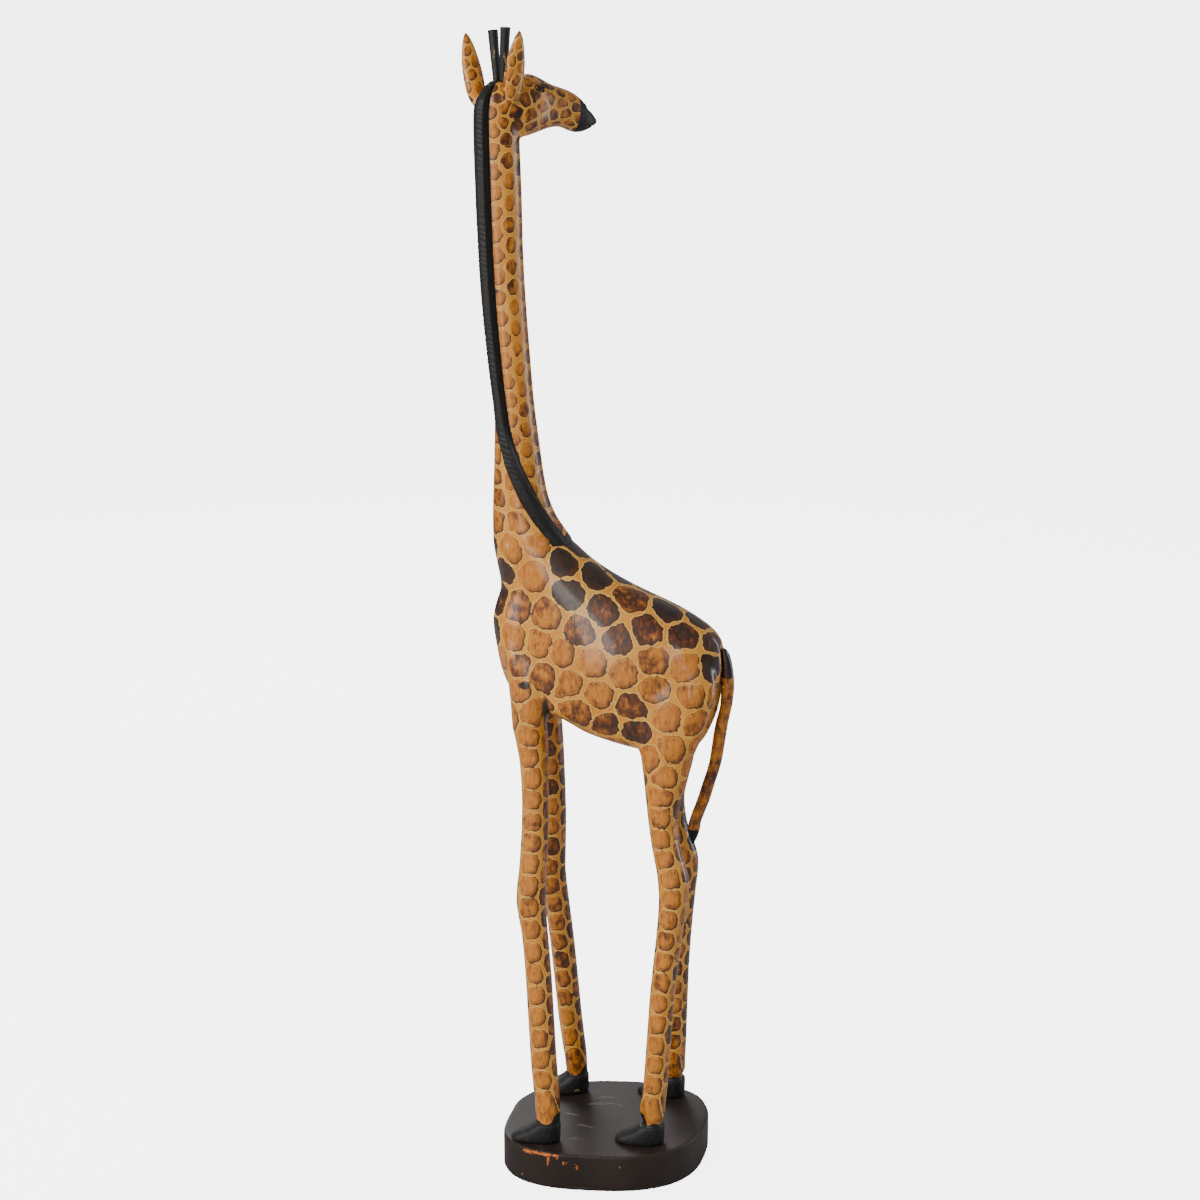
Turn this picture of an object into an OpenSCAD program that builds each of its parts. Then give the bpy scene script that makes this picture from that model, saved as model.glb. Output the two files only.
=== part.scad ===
// Carved wooden giraffe standing on an oval plinth, its head turned back over its right shoulder.
// Origin: centre of the plinth's underside. +Z up, chest towards -X, rump towards +X.
// The animal's left side is -Y and its right side is +Y.

/* [Plinth] */
// Length of the oval plinth
plinth_l = 214; // [178:1:258]
// Width of the oval plinth
plinth_w = 192; // [160:1:240]
// Thickness of the plinth
plinth_h = 40; // [30:1:60]
// Angle of the plinth's long axis from the body's axis
plinth_turn = 6; // [0:1:20]

/* [Legs] */
// Height of a hoof block
hoof_h = 22; // [16:1:30]
// Length of a hoof block, toe to heel
hoof_l = 54; // [44:1:66]
// Length of a foreleg piece, from its hoof to its joint under the chest
foreleg_l = 428; // [340:1:520]
// How far the forelegs' joint stands above the hind legs' joint
fore_rise = 28; // [20:1:40]
// Thickness of a foreleg below the knee
foreleg_d = 28; // [24:1:34]
// Thickness of a hind leg below the hock
hindleg_d = 27; // [24:1:33]

/* [Body] */
// Length of the body, chest to rump
body_l = 246; // [205:1:296]
// Width of the body
body_w = 94; // [80:1:113]
// Height of the torso piece, from the hind legs' joint to the neck joint
torso_h = 218; // [180:1:262]
// Distance of a leg's top from the body's middle plane
hip_y = 26; // [24:1:30]

/* [Neck] */
// Length of the neck piece
neck_l = 405; // [330:1:490]
// Width of the neck, side to side
neck_w = 46; // [40:1:56]
// Height of the mane's crest above the neck
mane_h = 7; // [4:1:10]

/* [Head] */
// Length of the head, from the neck's axis to the nose
head_l = 118; // [98:1:142]
// Angle that the head is turned from the tail's direction
head_turn = 46; // [20:1:70]
// Diameter of a horn at its flat top
horn_d = 10.5; // [9:0.5:12.5]
// Length of the taller horn above the poll
horn_l = 53; // [42:1:64]
// Length of an ear
ear_l = 66; // [55:1:80]

/* [Tail] */
// Thickness of the tail near its root
tail_d = 14; // [11:1:17]

/* [Joints] */
// Diameter of the dowels that hold the legs
leg_dowel_d = 12; // [8:1:14]
// Diameter of the dowel between torso and neck
neck_dowel_d = 20; // [16:1:24]
// Diameter of the dowel between neck and head
head_dowel_d = 16; // [12:1:19]
// Diameter of the tail's peg
tail_peg_d = 6; // [5:0.5:7]
// Diameter of the round tenons on horns and ears
tenon_d = 6; // [5:0.5:7]
// Gap on the diameter between a dowel, peg or tenon and its hole
fit_gap = 0.2; // [0.1:0.05:0.4]
// Shank diameter of the wood screws under the plinth
screw_d = 5; // [4:0.5:6]
// Length of the wood screws
screw_l = 80; // [76:1:100]

/* [Hidden] */

// Sides of a carved limb and of the torso, and how finely the stations are filled
limb_n = 18;
neck_n = 18;
torso_n = 30;
fill_n = 2;
// Roundness of the plinth's and the torso's outline: 2 is an ellipse, more is squarer
plinth_e = 2.6;
// Sideways slant of the hand-cut oval
plinth_skew = 0.1;
torso_e = 2.25;
// Sides of the exact round parts
$fn = 64;

// Sizes at which the profile tables below were drawn
drawn_body_l = 246;
drawn_hoof_l = 54;
drawn_head_l = 118;
drawn_fore_d = 28;
drawn_hind_d = 27;
drawn_tail_d = 14;
s = body_l / drawn_body_l;

// Where the animal's own axes stand on the plinth
stand_x = 4;
stand_y = 4;

// Heights of the joints
hoof_z = plinth_h;
leg_z = plinth_h + hoof_h;
fore_z = leg_z + foreleg_l;
hind_z = fore_z - fore_rise;
HIP_Z = [fore_z, fore_z, hind_z, hind_z];
neck_z = hind_z + torso_h;
head_z = neck_z + neck_l;

// Feet, as [x, y] of the leg's middle on its hoof, and hips, as [x, y] at the top joint
fore_left_foot = [-53 * s, -72];
fore_right_foot = [-50 * s, 56];
hind_left_foot = [56 * s, -54];
hind_right_foot = [56 * s, 67];
fore_left_hip = [-82 * s, -hip_y];
fore_right_hip = [-79 * s, hip_y];
hind_left_hip = [62.5 * s, -hip_y];
hind_right_hip = [57 * s, hip_y];
HIPS = [fore_left_hip, fore_right_hip, hind_left_hip, hind_right_hip];

// Foreleg profile: [share of height, bow forward, width, depth]
FORE = [
    [0.00, 0, 24.5, 24], [0.02, 0, 26, 27], [0.06, 0, 27, 28], [0.16, 2, 28, 28],
    [0.36, 3, 28, 28], [0.48, 5, 28, 28], [0.56, 7.5, 31.5, 31], [0.62, 4.5, 30, 30],
    [0.72, 0, 29, 29], [0.82, -2.5, 28.5, 30], [0.92, -3, 31, 33], [1.00, 0, 37, 37]];

// Length of the hind leg's flat top, where it meets the haunch
hind_top_w = 54;
// Hind leg profile: the same columns, bowed backward at the hock
HIND = [
    [0.00, 0, 19, 21], [0.018, 0, 20, 22], [0.034, 0, 27, 26], [0.06, 0, 27, 27],
    [0.12, 2, 26, 26], [0.35, 5.5, 26.5, 27], [0.50, 10, 27, 28], [0.60, 13, 29.5, 29],
    [0.66, 13.5, 33, 31], [0.71, 9.5, 31, 30], [0.77, 3, 29, 30], [0.86, -1, 33, 33],
    [0.95, 1, 47, 38], [1.00, 1, hind_top_w, 40]];

// Torso outline, level by level: [share of height, chest x, rump x, share of width]
TORSO = [
    [0.005, 36, 76, 0.22], [0.02, 20, 87, 0.46], [0.05, -4, 95, 0.66], [0.09, -32, 101, 0.80],
    [0.15, -56, 107, 0.90], [0.21, -94, 112, 0.95], [0.28, -109, 115, 0.98], [0.38, -118, 118, 1.00],
    [0.47, -122, 119, 0.98], [0.55, -125, 116, 0.94], [0.62, -126, 103, 0.885], [0.70, -122, 74, 0.81],
    [0.76, -117.5, 43, 0.75], [0.82, -118, 14, 0.70], [0.89, -121, -13, 0.66], [0.95, -123.5, -30, 0.64]];

// Neck outline above the joint: [share of height, front x, back x, share of neck width]
NECK = [
    [0.00, -125, -42, 1.28], [0.05, -125.5, -57, 1.16], [0.10, -125, -66, 1.08],
    [0.155, -124, -71, 1.04], [0.26, -122.5, -77, 1.01], [0.36, -122.5, -82, 0.98],
    [0.46, -127.5, -85, 0.96], [0.56, -132, -88, 0.96], [0.66, -135.5, -90.5, 0.96],
    [0.76, -138, -92, 0.97], [0.86, -140, -92.6, 0.98], [1.00, -141.5, -94.5, 1.00]];

// Poll: the back of the head that carries on from the neck, [mm above the joint, front, back, share]
POLL = [
    [0, -141.5, -94.5, 1.00], [25, -141.5, -94.5, 1.02], [40, -140, -95, 1.00], [51, -134, -99, 0.84],
    [59, -127, -104, 0.60], [63, -122, -109, 0.36]];

// Face: [mm forward of the neck's axis, bottom, top, half width], heights above the head joint
FACE = [
    [-8, 10, 54, 19], [8, 5, 62, 24], [22, 4.5, 67, 25.5], [36, 7, 68, 24], [49, 10.5, 62.5, 20.5],
    [62, 13, 56, 18.5], [75, 12, 52, 17], [88, 6.5, 46.5, 16], [98, 6.5, 38.5, 14.5],
    [107, 9.5, 28, 11.5], [114, 13, 20.5, 7], [116.5, 15, 18, 4]];

// Mane: [share of the neck's height, polar angle of its middle]
MANE_TURN = [
    [0.00, -30], [0.025, -35], [0.065, -43], [0.11, -57], [0.152, -71], [0.195, -87], [0.24, -100],
    [0.32, -116], [0.40, -120], [1.00, -115]];
// The mane ends this far above the head joint, on the poll
mane_top = 60;

// Tail: [height above the hind joint, inner x, outer x, y, depth]
TAIL = [
    [-108, 80, 88, 19, 8], [-101, 78, 90.5, 18, 12], [-82, 80, 93.5, 16, 13], [-58, 88.5, 102.5, 12, 13],
    [-34, 96, 109.5, 9, 13], [-12, 102.5, 116, 7, 13], [19, 107, 121, 4, 13], [34, 110, 123.5, 2, 13],
    [50, 114, 127, 0.5, 13], [60, 115, 128.5, 0, 13], [75, 115, 129.5, 0, 14], [91, 115, 128, 0, 14],
    [106, 115, 124.5, 0, 13], [113, 115, 119.5, 0, 9]];
tail_seat_x = 115 * s;
// The flat on the rump that the tail is pegged to is cut this far out
tail_flat = 30;

// The right foreleg is carved this much slimmer than the left
right_slim = 0.92;
// Its hoof is turned inward by this angle, so that it stands wholly on the plinth
right_toe_in = 16;

// Dowels, pegs and tenons
leg_dowel_l = 56;
neck_dowel_l = 96;
head_dowel_l = 64;
tail_peg_l = 26;
// How much of the tail's peg is inside the torso
tail_peg_in = 16;
horn_peg_l = 12;
ear_tenon_l = 9;
// A hole is this much deeper than its dowel, above the end that the dowel stands on
end_gap = 2;
neck_dowel_x = -90 * s;
head_x = -116 * s;
tail_peg_z = hind_z + 92;

// Screws: head, recess and pilot hole
screw_head_d = 2 * screw_d;
screw_head_h = screw_head_d / 2 - screw_d / 2;
screw_recess = 6;
screw_gap = 0.4;
pilot_d = screw_d - 1.2;

// Horns and ears on the turned head: forward, sideways and height above the head joint
horn_base = [2.5, 6, 62];
horn_left_lean = 8;
horn_right_lean = 5;
horn_base_d = 8;
horn_left_short = 3.5;
horn_sink = 2;
ear_base = [0.5, 20.5, 44];
ear_lean = 15;
ear_out = 4.5;
ear_tilt = 3;
ear_right_tilt = 1;
ear_right_raise = 6;
ear_left_back = 9;

// Walks a table of stations and adds smooth rows between them
function between(a, b, c, d, t) =
    0.5 * (2 * b + (c - a) * t + (2 * a - 5 * b + 4 * c - d) * t * t + (3 * b - a - 3 * c + d) * t * t * t);
function filled(T, m = fill_n) = [
    for (i = [0:len(T) - 2]) for (k = [0:m - 1])
        between(T[max(i - 1, 0)], T[i], T[i + 1], T[min(i + 2, len(T) - 1)], k / m),
    T[len(T) - 1]];

// One level oval: height z, middle x and y, half sizes a and b, squareness e, first angle at
function squared(v, e) = sign(v) * pow(abs(v), 2 / e);
function oval(z, x, y, a, b, n = limb_n, e = 2, at = 0) = [
    for (i = [0:n - 1]) let (t = at + 360 * i / n)
        [x + a * squared(cos(t), e), y + b * squared(sin(t), e), z]];

// Joins level rings, lowest first, into one closed solid
module loft(R, crossed = false) {
    n = len(R[0]);
    m = len(R);
    sides = [for (k = [0:m - 2]) for (i = [0:n - 1])
        let (a = k * n + i, b = k * n + (i + 1) % n, c = a + n, d = b + n)
        each crossed ? [[a, c, b], [c, d, b]] : [[a, c, d], [a, d, b]]];
    foot = [for (i = [0:n - 1]) i];
    top = [for (i = [n - 1:-1:0]) (m - 1) * n + i];
    polyhedron(points = [for (r = R) each r], faces = concat([foot, top], sides));
}

// A straight hole or peg along +Z from a point
module rod(at, d, l) {
    translate(at) cylinder(d = d, h = l);
}

// Everything of the animal stands on its own middle plane
module animal() {
    translate([stand_x, stand_y, 0]) children();
}

// A hole or peg along +X, for the tail
module lying_rod(at, d, l) {
    translate(at) rotate([0, 90, 0]) cylinder(d = d, h = l);
}

module plinth_outline() {
    ring = oval(0, 0, 0, plinth_l / 2, plinth_w / 2, 72, plinth_e);
    polygon([for (p = ring) [p[0] + plinth_skew * p[1], p[1]]]);
}

// Screw positions are the four feet
FEET = [fore_left_foot, fore_right_foot, hind_left_foot, hind_right_foot];

// A countersunk wood screw: full shank up to the leg, thinner where it cuts into it
module screw() {
    translate([0, 0, screw_recess]) cylinder(d1 = screw_head_d, d2 = screw_d, h = screw_head_h);
    rod([0, 0, screw_recess], screw_d, leg_z - screw_recess);
    rod([0, 0, screw_recess], pilot_d, screw_l);
}

module plinth() {
    color([0.22, 0.18, 0.16])
    difference() {
        rotate([0, 0, plinth_turn]) linear_extrude(plinth_h) plinth_outline();
        for (f = FEET) translate([f[0] + stand_x, f[1] + stand_y, 0]) {
            rod([0, 0, -1], screw_head_d + 2 * screw_gap, screw_recess + 1);
            translate([0, 0, screw_recess])
                cylinder(d1 = screw_head_d + 2 * screw_gap, d2 = screw_d + screw_gap, h = screw_head_h);
            rod([0, 0, 0], screw_d + screw_gap, plinth_h + 1);
        }
    }
}

// A hoof: flat sole, long sloping toe towards -X, turned about its own leg
module hoof(foot, turn = 0) {
    k = hoof_l / drawn_hoof_l;
    H = [[0, -40, 11.5, 12.5], [0.12, -41, 12.5, 14], [0.3, -38, 13, 14.3], [0.55, -29, 13, 14],
        [0.8, -19, 13, 13.6], [1, -13, 12.5, 13]];
    color([0.12, 0.12, 0.13])
    animal() translate([foot[0], foot[1], hoof_z]) rotate([0, 0, turn]) difference() {
        loft([for (h = filled(H)) oval(h[0] * hoof_h, k * (h[1] + h[2]) / 2, 0, k * (h[2] - h[1]) / 2, h[3],
            limb_n, 2.4)]);
        rod([0, 0, -1], screw_d + screw_gap, hoof_h + 2);
    }
}

// A leg from its foot to its hip, with the dowel's hole at the top and the screw's at the bottom
module leg(profile, foot, hip, l, bow, k) {
    R = [for (p = filled(profile)) let (grow = 1 + (k - 1) * (1 - p[0]))
        oval(leg_z + p[0] * l, foot[0] + (hip[0] - foot[0]) * p[0] + bow * p[1],
            foot[1] + (hip[1] - foot[1]) * p[0], grow * p[2] / 2, grow * p[3] / 2)];
    color([0.84, 0.63, 0.35])
    animal() difference() {
        loft(R);
        rod([hip[0], hip[1], leg_z + l - leg_dowel_l / 2], leg_dowel_d + fit_gap, leg_dowel_l);
        rod([foot[0], foot[1], leg_z - 1], pilot_d, screw_recess + screw_l - leg_z + 1);
    }
}

module foreleg(foot, hip, slim = 1) {
    leg(FORE, foot, hip, foreleg_l, -1, slim * foreleg_d / drawn_fore_d);
}

module hindleg(foot, hip) {
    leg(HIND, foot, hip, foreleg_l - fore_rise, 1, hindleg_d / drawn_hind_d);
}

// The ring at each joint plane is shared by the two pieces that meet there
function neck_ring(p) = oval(neck_z + p[0] * neck_l, s * (p[1] + p[2]) / 2, 0, s * (p[2] - p[1]) / 2,
    p[3] * neck_w / 2, neck_n, 2, lookup(p[0], MANE_TURN));
function poll_ring(p) = oval(head_z + p[0], s * (p[1] + p[2]) / 2, 0, s * (p[2] - p[1]) / 2,
    p[3] * neck_w / 2, neck_n, 2, lookup(1, MANE_TURN));

module shoulder(hip) {
    side = sign(hip[1]);
    S = [[0, 0, 37, 37, 0], [30, 0.5, 43.5, 39, 2], [62, -1.5, 49, 38, 5], [90, -6, 50, 30, 10],
        [112, -8, 36, 20, 12]];
    loft([for (p = filled(S)) oval(fore_z + p[0], hip[0] + p[1], hip[1] - side * p[4], p[2] / 2, p[3] / 2)]);
}

module haunch(hip) {
    side = sign(hip[1]);
    S = [[0, 1, hind_top_w, 40, 0], [18, 1.5, 69, 42, 0.5], [42, 0, 88, 43, 2], [68, 0.5, 101, 42, 3],
        [98, 0, 96, 38, 7], [126, -3, 58, 26, 12]];
    loft([for (p = filled(S)) let (w = hind_top_w + s * (p[2] - hind_top_w))
        oval(hind_z + p[0], hip[0] + p[1], hip[1] - side * p[4], w / 2, p[3] / 2)]);
}

module torso_blank() {
    T = [for (p = TORSO) [p[0] * torso_h, s * p[1], s * p[2], p[3] * body_w / 2]];
    top = [torso_h, s * NECK[0][1], s * NECK[0][2], NECK[0][3] * neck_w / 2];
    F = filled(concat(T, [top]));
    loft([for (i = [0:len(F) - 1]) let (p = F[i], e = i == len(F) - 1 ? 2 : torso_e)
        oval(hind_z + p[0], (p[1] + p[2]) / 2, 0, (p[2] - p[1]) / 2, p[3], torso_n, e)]);
}

module torso() {
    color([0.80, 0.58, 0.30])
    animal() difference() {
        union() {
            torso_blank();
            for (hip = [fore_left_hip, fore_right_hip]) shoulder(hip);
            for (hip = [hind_left_hip, hind_right_hip]) haunch(hip);
        }
        for (i = [0:3])
            rod([HIPS[i][0], HIPS[i][1], HIP_Z[i] - 1], leg_dowel_d + fit_gap, leg_dowel_l / 2 + end_gap + 1);
        rod([neck_dowel_x, 0, neck_z - neck_dowel_l / 2], neck_dowel_d + fit_gap, neck_dowel_l);
        translate([tail_seat_x, -tail_d / 2 - 1, hind_z + 36]) cube([tail_flat, tail_d + 2, 86]);
        lying_rod([tail_seat_x - tail_peg_in - end_gap, 0, tail_peg_z], tail_peg_d + fit_gap, tail_peg_l);
    }
}

module neck() {
    color([0.84, 0.63, 0.35])
    animal() difference() {
        loft([for (p = filled(NECK)) neck_ring(p)]);
        rod([neck_dowel_x, 0, neck_z - 1], neck_dowel_d + fit_gap, neck_dowel_l / 2 + end_gap + 1);
        rod([head_x, 0, head_z - head_dowel_l / 2], head_dowel_d + fit_gap, head_dowel_l);
    }
}

// The mane sits on the same faces that the neck has under it
function crest(q, c, rise) = q + mane_h * rise * (q - c) / norm(q - c);
function mane_ring(r, rise) = let (n = len(r), c = (r[0] + r[n / 2]) / 2, a = r[n - 1], b = r[1],
    top = crest(r[0], c, rise), left = crest(a, c, rise), right = crest(b, c, rise))
    [a, 0.55 * left + 0.45 * top, top, 0.55 * right + 0.45 * top, b, r[0]];

module mane() {
    F = filled(NECK);
    G = [for (p = filled(POLL)) if (p[0] <= mane_top + 0.01) p];
    low = [for (p = F) mane_ring(neck_ring(p), min(1, 0.3 + p[0] * 12))];
    high = [for (p = G) if (p[0] > 0) mane_ring(poll_ring(p), min(1, 0.3 + (mane_top - p[0]) / 20))];
    color([0.10, 0.10, 0.11])
    animal() loft(concat(low, high), crossed = true);
}

// The head's own axes: forward is +X before the turn, heights count from the head joint
module on_head() {
    translate([head_x, 0, head_z]) rotate([0, 0, head_turn]) children();
}

module face() {
    k = head_l / drawn_head_l;
    on_head() rotate([0, 90, 0]) loft([for (p = filled(FACE))
        oval(k * p[0], -(p[1] + p[2]) / 2, 0, (p[2] - p[1]) / 2, p[3], 20, 2.2)]);
}

module poll() {
    loft([for (p = filled(POLL)) poll_ring(p)]);
}

module horn_place(side) {
    on_head() translate([horn_base[0], side * horn_base[1], horn_base[2]])
        rotate([side > 0 ? -horn_left_lean : horn_right_lean, 0, 0]) children();
}

module ear_place(side) {
    raise = side < 0 ? ear_right_raise : 0;
    back = side > 0 ? ear_left_back : 0;
    on_head() translate([ear_base[0] - back, side * ear_base[1], ear_base[2] + raise]) children();
}

module head() {
    color([0.84, 0.63, 0.35])
    animal() difference() {
        union() {
            poll();
            face();
        }
        rod([head_x, 0, head_z - 1], head_dowel_d + fit_gap, head_dowel_l / 2 + end_gap + 1);
        for (side = [-1, 1]) {
            horn_place(side) rod([0, 0, -horn_peg_l - end_gap], tenon_d + fit_gap, horn_peg_l + end_gap + 20);
            horn_place(side) rod([0, 0, -horn_sink], horn_base_d + fit_gap, 20);
            ear_place(side) rotate([side * 90, 0, 0])
                rod([0, 0, -1], tenon_d + fit_gap, ear_tenon_l + end_gap + 1);
            ear_place(side) ear_leaf(side);
        }
    }
}

// An ear: a flat-backed leaf let into the side of the head, with a round tenon
module ear_leaf(side) {
    E = [[-0.14, 7, 1.5], [-0.10, 12, 4.5], [0, 19, 6.5], [0.15, 23, 7], [0.35, 24, 6.5], [0.55, 22.5, 5.5],
        [0.75, 17, 4.5], [0.9, 9.5, 3.5], [1, 3, 1.6]];
    intersection() {
        rotate([-side * ear_lean, side > 0 ? -ear_tilt : -ear_right_tilt, 0])
            translate([0, side * ear_out, 0])
                loft([for (p = filled(E)) oval(p[0] * ear_l, 0, 0, p[1] / 2, p[2], 16)]);
        translate([-ear_l, side > 0 ? 0 : -ear_l, -ear_l]) cube([2 * ear_l, ear_l, 3 * ear_l]);
    }
}

module ear(side) {
    color([0.84, 0.63, 0.35])
    animal() ear_place(side) {
        ear_leaf(side);
        rotate([side * 90, 0, 0]) rod([0, 0, -0.5], tenon_d, ear_tenon_l + 0.5);
    }
}

// A horn: a round peg with a flat top, thicker above than at its foot
module horn(side, l) {
    color([0.10, 0.10, 0.11])
    animal() horn_place(side) {
        translate([0, 0, -horn_sink]) cylinder(d1 = horn_base_d, d2 = horn_d, h = l + horn_sink);
        rod([0, 0, -horn_peg_l], tenon_d, horn_peg_l);
    }
}

module tail() {
    k = tail_d / drawn_tail_d;
    color([0.60, 0.40, 0.20])
    animal() difference() {
        loft([for (p = filled(TAIL)) let (a = (p[2] - p[1]) / 2)
            oval(hind_z + p[0], s * p[1] + a, p[3], a, k * p[4] / 2, 14)]);
        lying_rod([tail_seat_x - 1, 0, tail_peg_z], tail_peg_d + fit_gap, tail_peg_l - tail_peg_in + 1);
    }
}

module leg_dowels() {
    color([0.86, 0.72, 0.50])
    animal() for (i = [0:3])
        rod([HIPS[i][0], HIPS[i][1], HIP_Z[i] - leg_dowel_l / 2], leg_dowel_d, leg_dowel_l);
}

module neck_dowel() {
    color([0.86, 0.72, 0.50])
    animal() rod([neck_dowel_x, 0, neck_z - neck_dowel_l / 2], neck_dowel_d, neck_dowel_l);
}

module head_dowel() {
    color([0.86, 0.72, 0.50])
    animal() rod([head_x, 0, head_z - head_dowel_l / 2], head_dowel_d, head_dowel_l);
}

module tail_peg() {
    color([0.86, 0.72, 0.50])
    animal() lying_rod([tail_seat_x - tail_peg_in, 0, tail_peg_z], tail_peg_d, tail_peg_l);
}

module plinth_screws() {
    color([0.62, 0.60, 0.56])
    animal() for (f = FEET) translate([f[0], f[1], 0]) screw();
}

plinth();
hoof(fore_left_foot);  // hoof_fore_left
hoof(fore_right_foot, right_toe_in);  // hoof_fore_right
hoof(hind_left_foot);  // hoof_hind_left
hoof(hind_right_foot, -right_toe_in / 4);  // hoof_hind_right
foreleg(fore_left_foot, fore_left_hip);  // foreleg_left
foreleg(fore_right_foot, fore_right_hip, right_slim);  // foreleg_right
hindleg(hind_left_foot, hind_left_hip);  // hindleg_left
hindleg(hind_right_foot, hind_right_hip);  // hindleg_right
torso();
neck();
mane();
head();
ear(1);  // ear_left
ear(-1);  // ear_right
horn(1, horn_l - horn_left_short);  // horn_left
horn(-1, horn_l);  // horn_right
tail();
leg_dowels();
neck_dowel();
head_dowel();
tail_peg();
plinth_screws();
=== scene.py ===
import math

import bmesh
import bpy
import numpy as np
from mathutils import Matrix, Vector
from mathutils.bvhtree import BVHTree


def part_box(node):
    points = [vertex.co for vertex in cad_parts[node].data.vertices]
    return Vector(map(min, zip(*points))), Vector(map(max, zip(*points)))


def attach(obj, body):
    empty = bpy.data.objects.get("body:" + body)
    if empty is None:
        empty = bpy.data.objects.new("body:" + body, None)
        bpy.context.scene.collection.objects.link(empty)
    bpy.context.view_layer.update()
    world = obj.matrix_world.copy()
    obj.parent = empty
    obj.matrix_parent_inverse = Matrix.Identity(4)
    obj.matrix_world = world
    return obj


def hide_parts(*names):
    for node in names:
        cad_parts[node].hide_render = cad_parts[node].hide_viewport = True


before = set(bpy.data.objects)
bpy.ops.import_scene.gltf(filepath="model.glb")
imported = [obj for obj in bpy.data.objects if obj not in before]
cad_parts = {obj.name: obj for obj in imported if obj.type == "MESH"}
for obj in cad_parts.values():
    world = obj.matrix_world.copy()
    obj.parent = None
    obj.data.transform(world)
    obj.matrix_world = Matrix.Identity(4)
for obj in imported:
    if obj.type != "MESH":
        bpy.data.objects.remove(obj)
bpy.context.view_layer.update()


# --------------------------------------------------------------------------------------------------
# Plinth: a thick slab of hardwood sawn to a squarish oval, its rims rounded by hand, painted dark brown.
# The paint is satin, scuffed in arcs on top, and knocked off along the rim, where bare orange wood shows.
# Four steel wood screws come up through it, through the hooves and into the legs.

MM = 0.001


def node_copy(bm, name, shift=(0, 0, 0)):
    """Adds a merged copy of a CAD node's mesh to bm, moved by shift."""
    part = bmesh.new()
    part.from_mesh(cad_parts[name].data)
    bmesh.ops.remove_doubles(part, verts=part.verts, dist=1e-6)
    bmesh.ops.translate(part, verts=part.verts, vec=shift)
    mesh = bpy.data.meshes.new("copy")
    part.to_mesh(mesh)
    part.free()
    bm.from_mesh(mesh)
    bpy.data.meshes.remove(mesh)


def keep_largest(bm):
    """Removes closed-in hollows and crumbs: only the largest connected surface stays."""
    seen = set()
    best = []
    for start in bm.verts:
        if start in seen:
            continue
        seen.add(start)
        group = [start]
        for v in group:
            for e in v.link_edges:
                w = e.other_vert(v)
                if w not in seen:
                    seen.add(w)
                    group.append(w)
        if len(group) > len(best):
            best = group
    best = set(best)
    bmesh.ops.delete(bm, geom=[v for v in bm.verts if v not in best], context="VERTS")


def sanded(bm, grain, strokes):
    """One closed surface round everything in bm, in faces of about grain, smoothed as sanding does."""
    mesh = bpy.data.meshes.new("blank")
    bm.to_mesh(mesh)
    bm.free()
    blank = bpy.data.objects.new("blank", mesh)
    bpy.context.scene.collection.objects.link(blank)
    skin = blank.modifiers.new("skin", "REMESH")
    skin.mode = "VOXEL"
    skin.voxel_size = grain
    sand = blank.modifiers.new("sand", "SMOOTH")
    sand.factor = 0.5
    sand.iterations = strokes
    shape = bpy.data.meshes.new_from_object(blank.evaluated_get(bpy.context.evaluated_depsgraph_get()))
    bpy.data.objects.remove(blank)
    bpy.data.meshes.remove(mesh)
    out = bmesh.new()
    out.from_mesh(shape)
    bpy.data.meshes.remove(shape)
    keep_largest(out)
    return out


def finished(bm, name, material, nodes):
    """Makes bm the shown piece that stands for the CAD nodes."""
    mesh = bpy.data.meshes.new(name)
    bm.to_mesh(mesh)
    bm.free()
    mesh.shade_smooth()
    piece = bpy.data.objects.new(name, mesh)
    bpy.context.scene.collection.objects.link(piece)
    mesh.materials.append(material)
    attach(piece, "root")
    if nodes:
        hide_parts(*nodes)
    return piece


def spread(piece, name, values):
    """Stores one number per vertex, for the material to read."""
    layer = piece.data.attributes.new(name, "FLOAT", "POINT")
    layer.data.foreach_set("value", np.asarray(values, np.float32))


def points(piece):
    """All vertices of a piece as rows of x, y, z in metres."""
    co = np.empty(len(piece.data.vertices) * 3, np.float32)
    piece.data.vertices.foreach_get("co", co)
    return co.reshape(-1, 3).astype(float)


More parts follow.
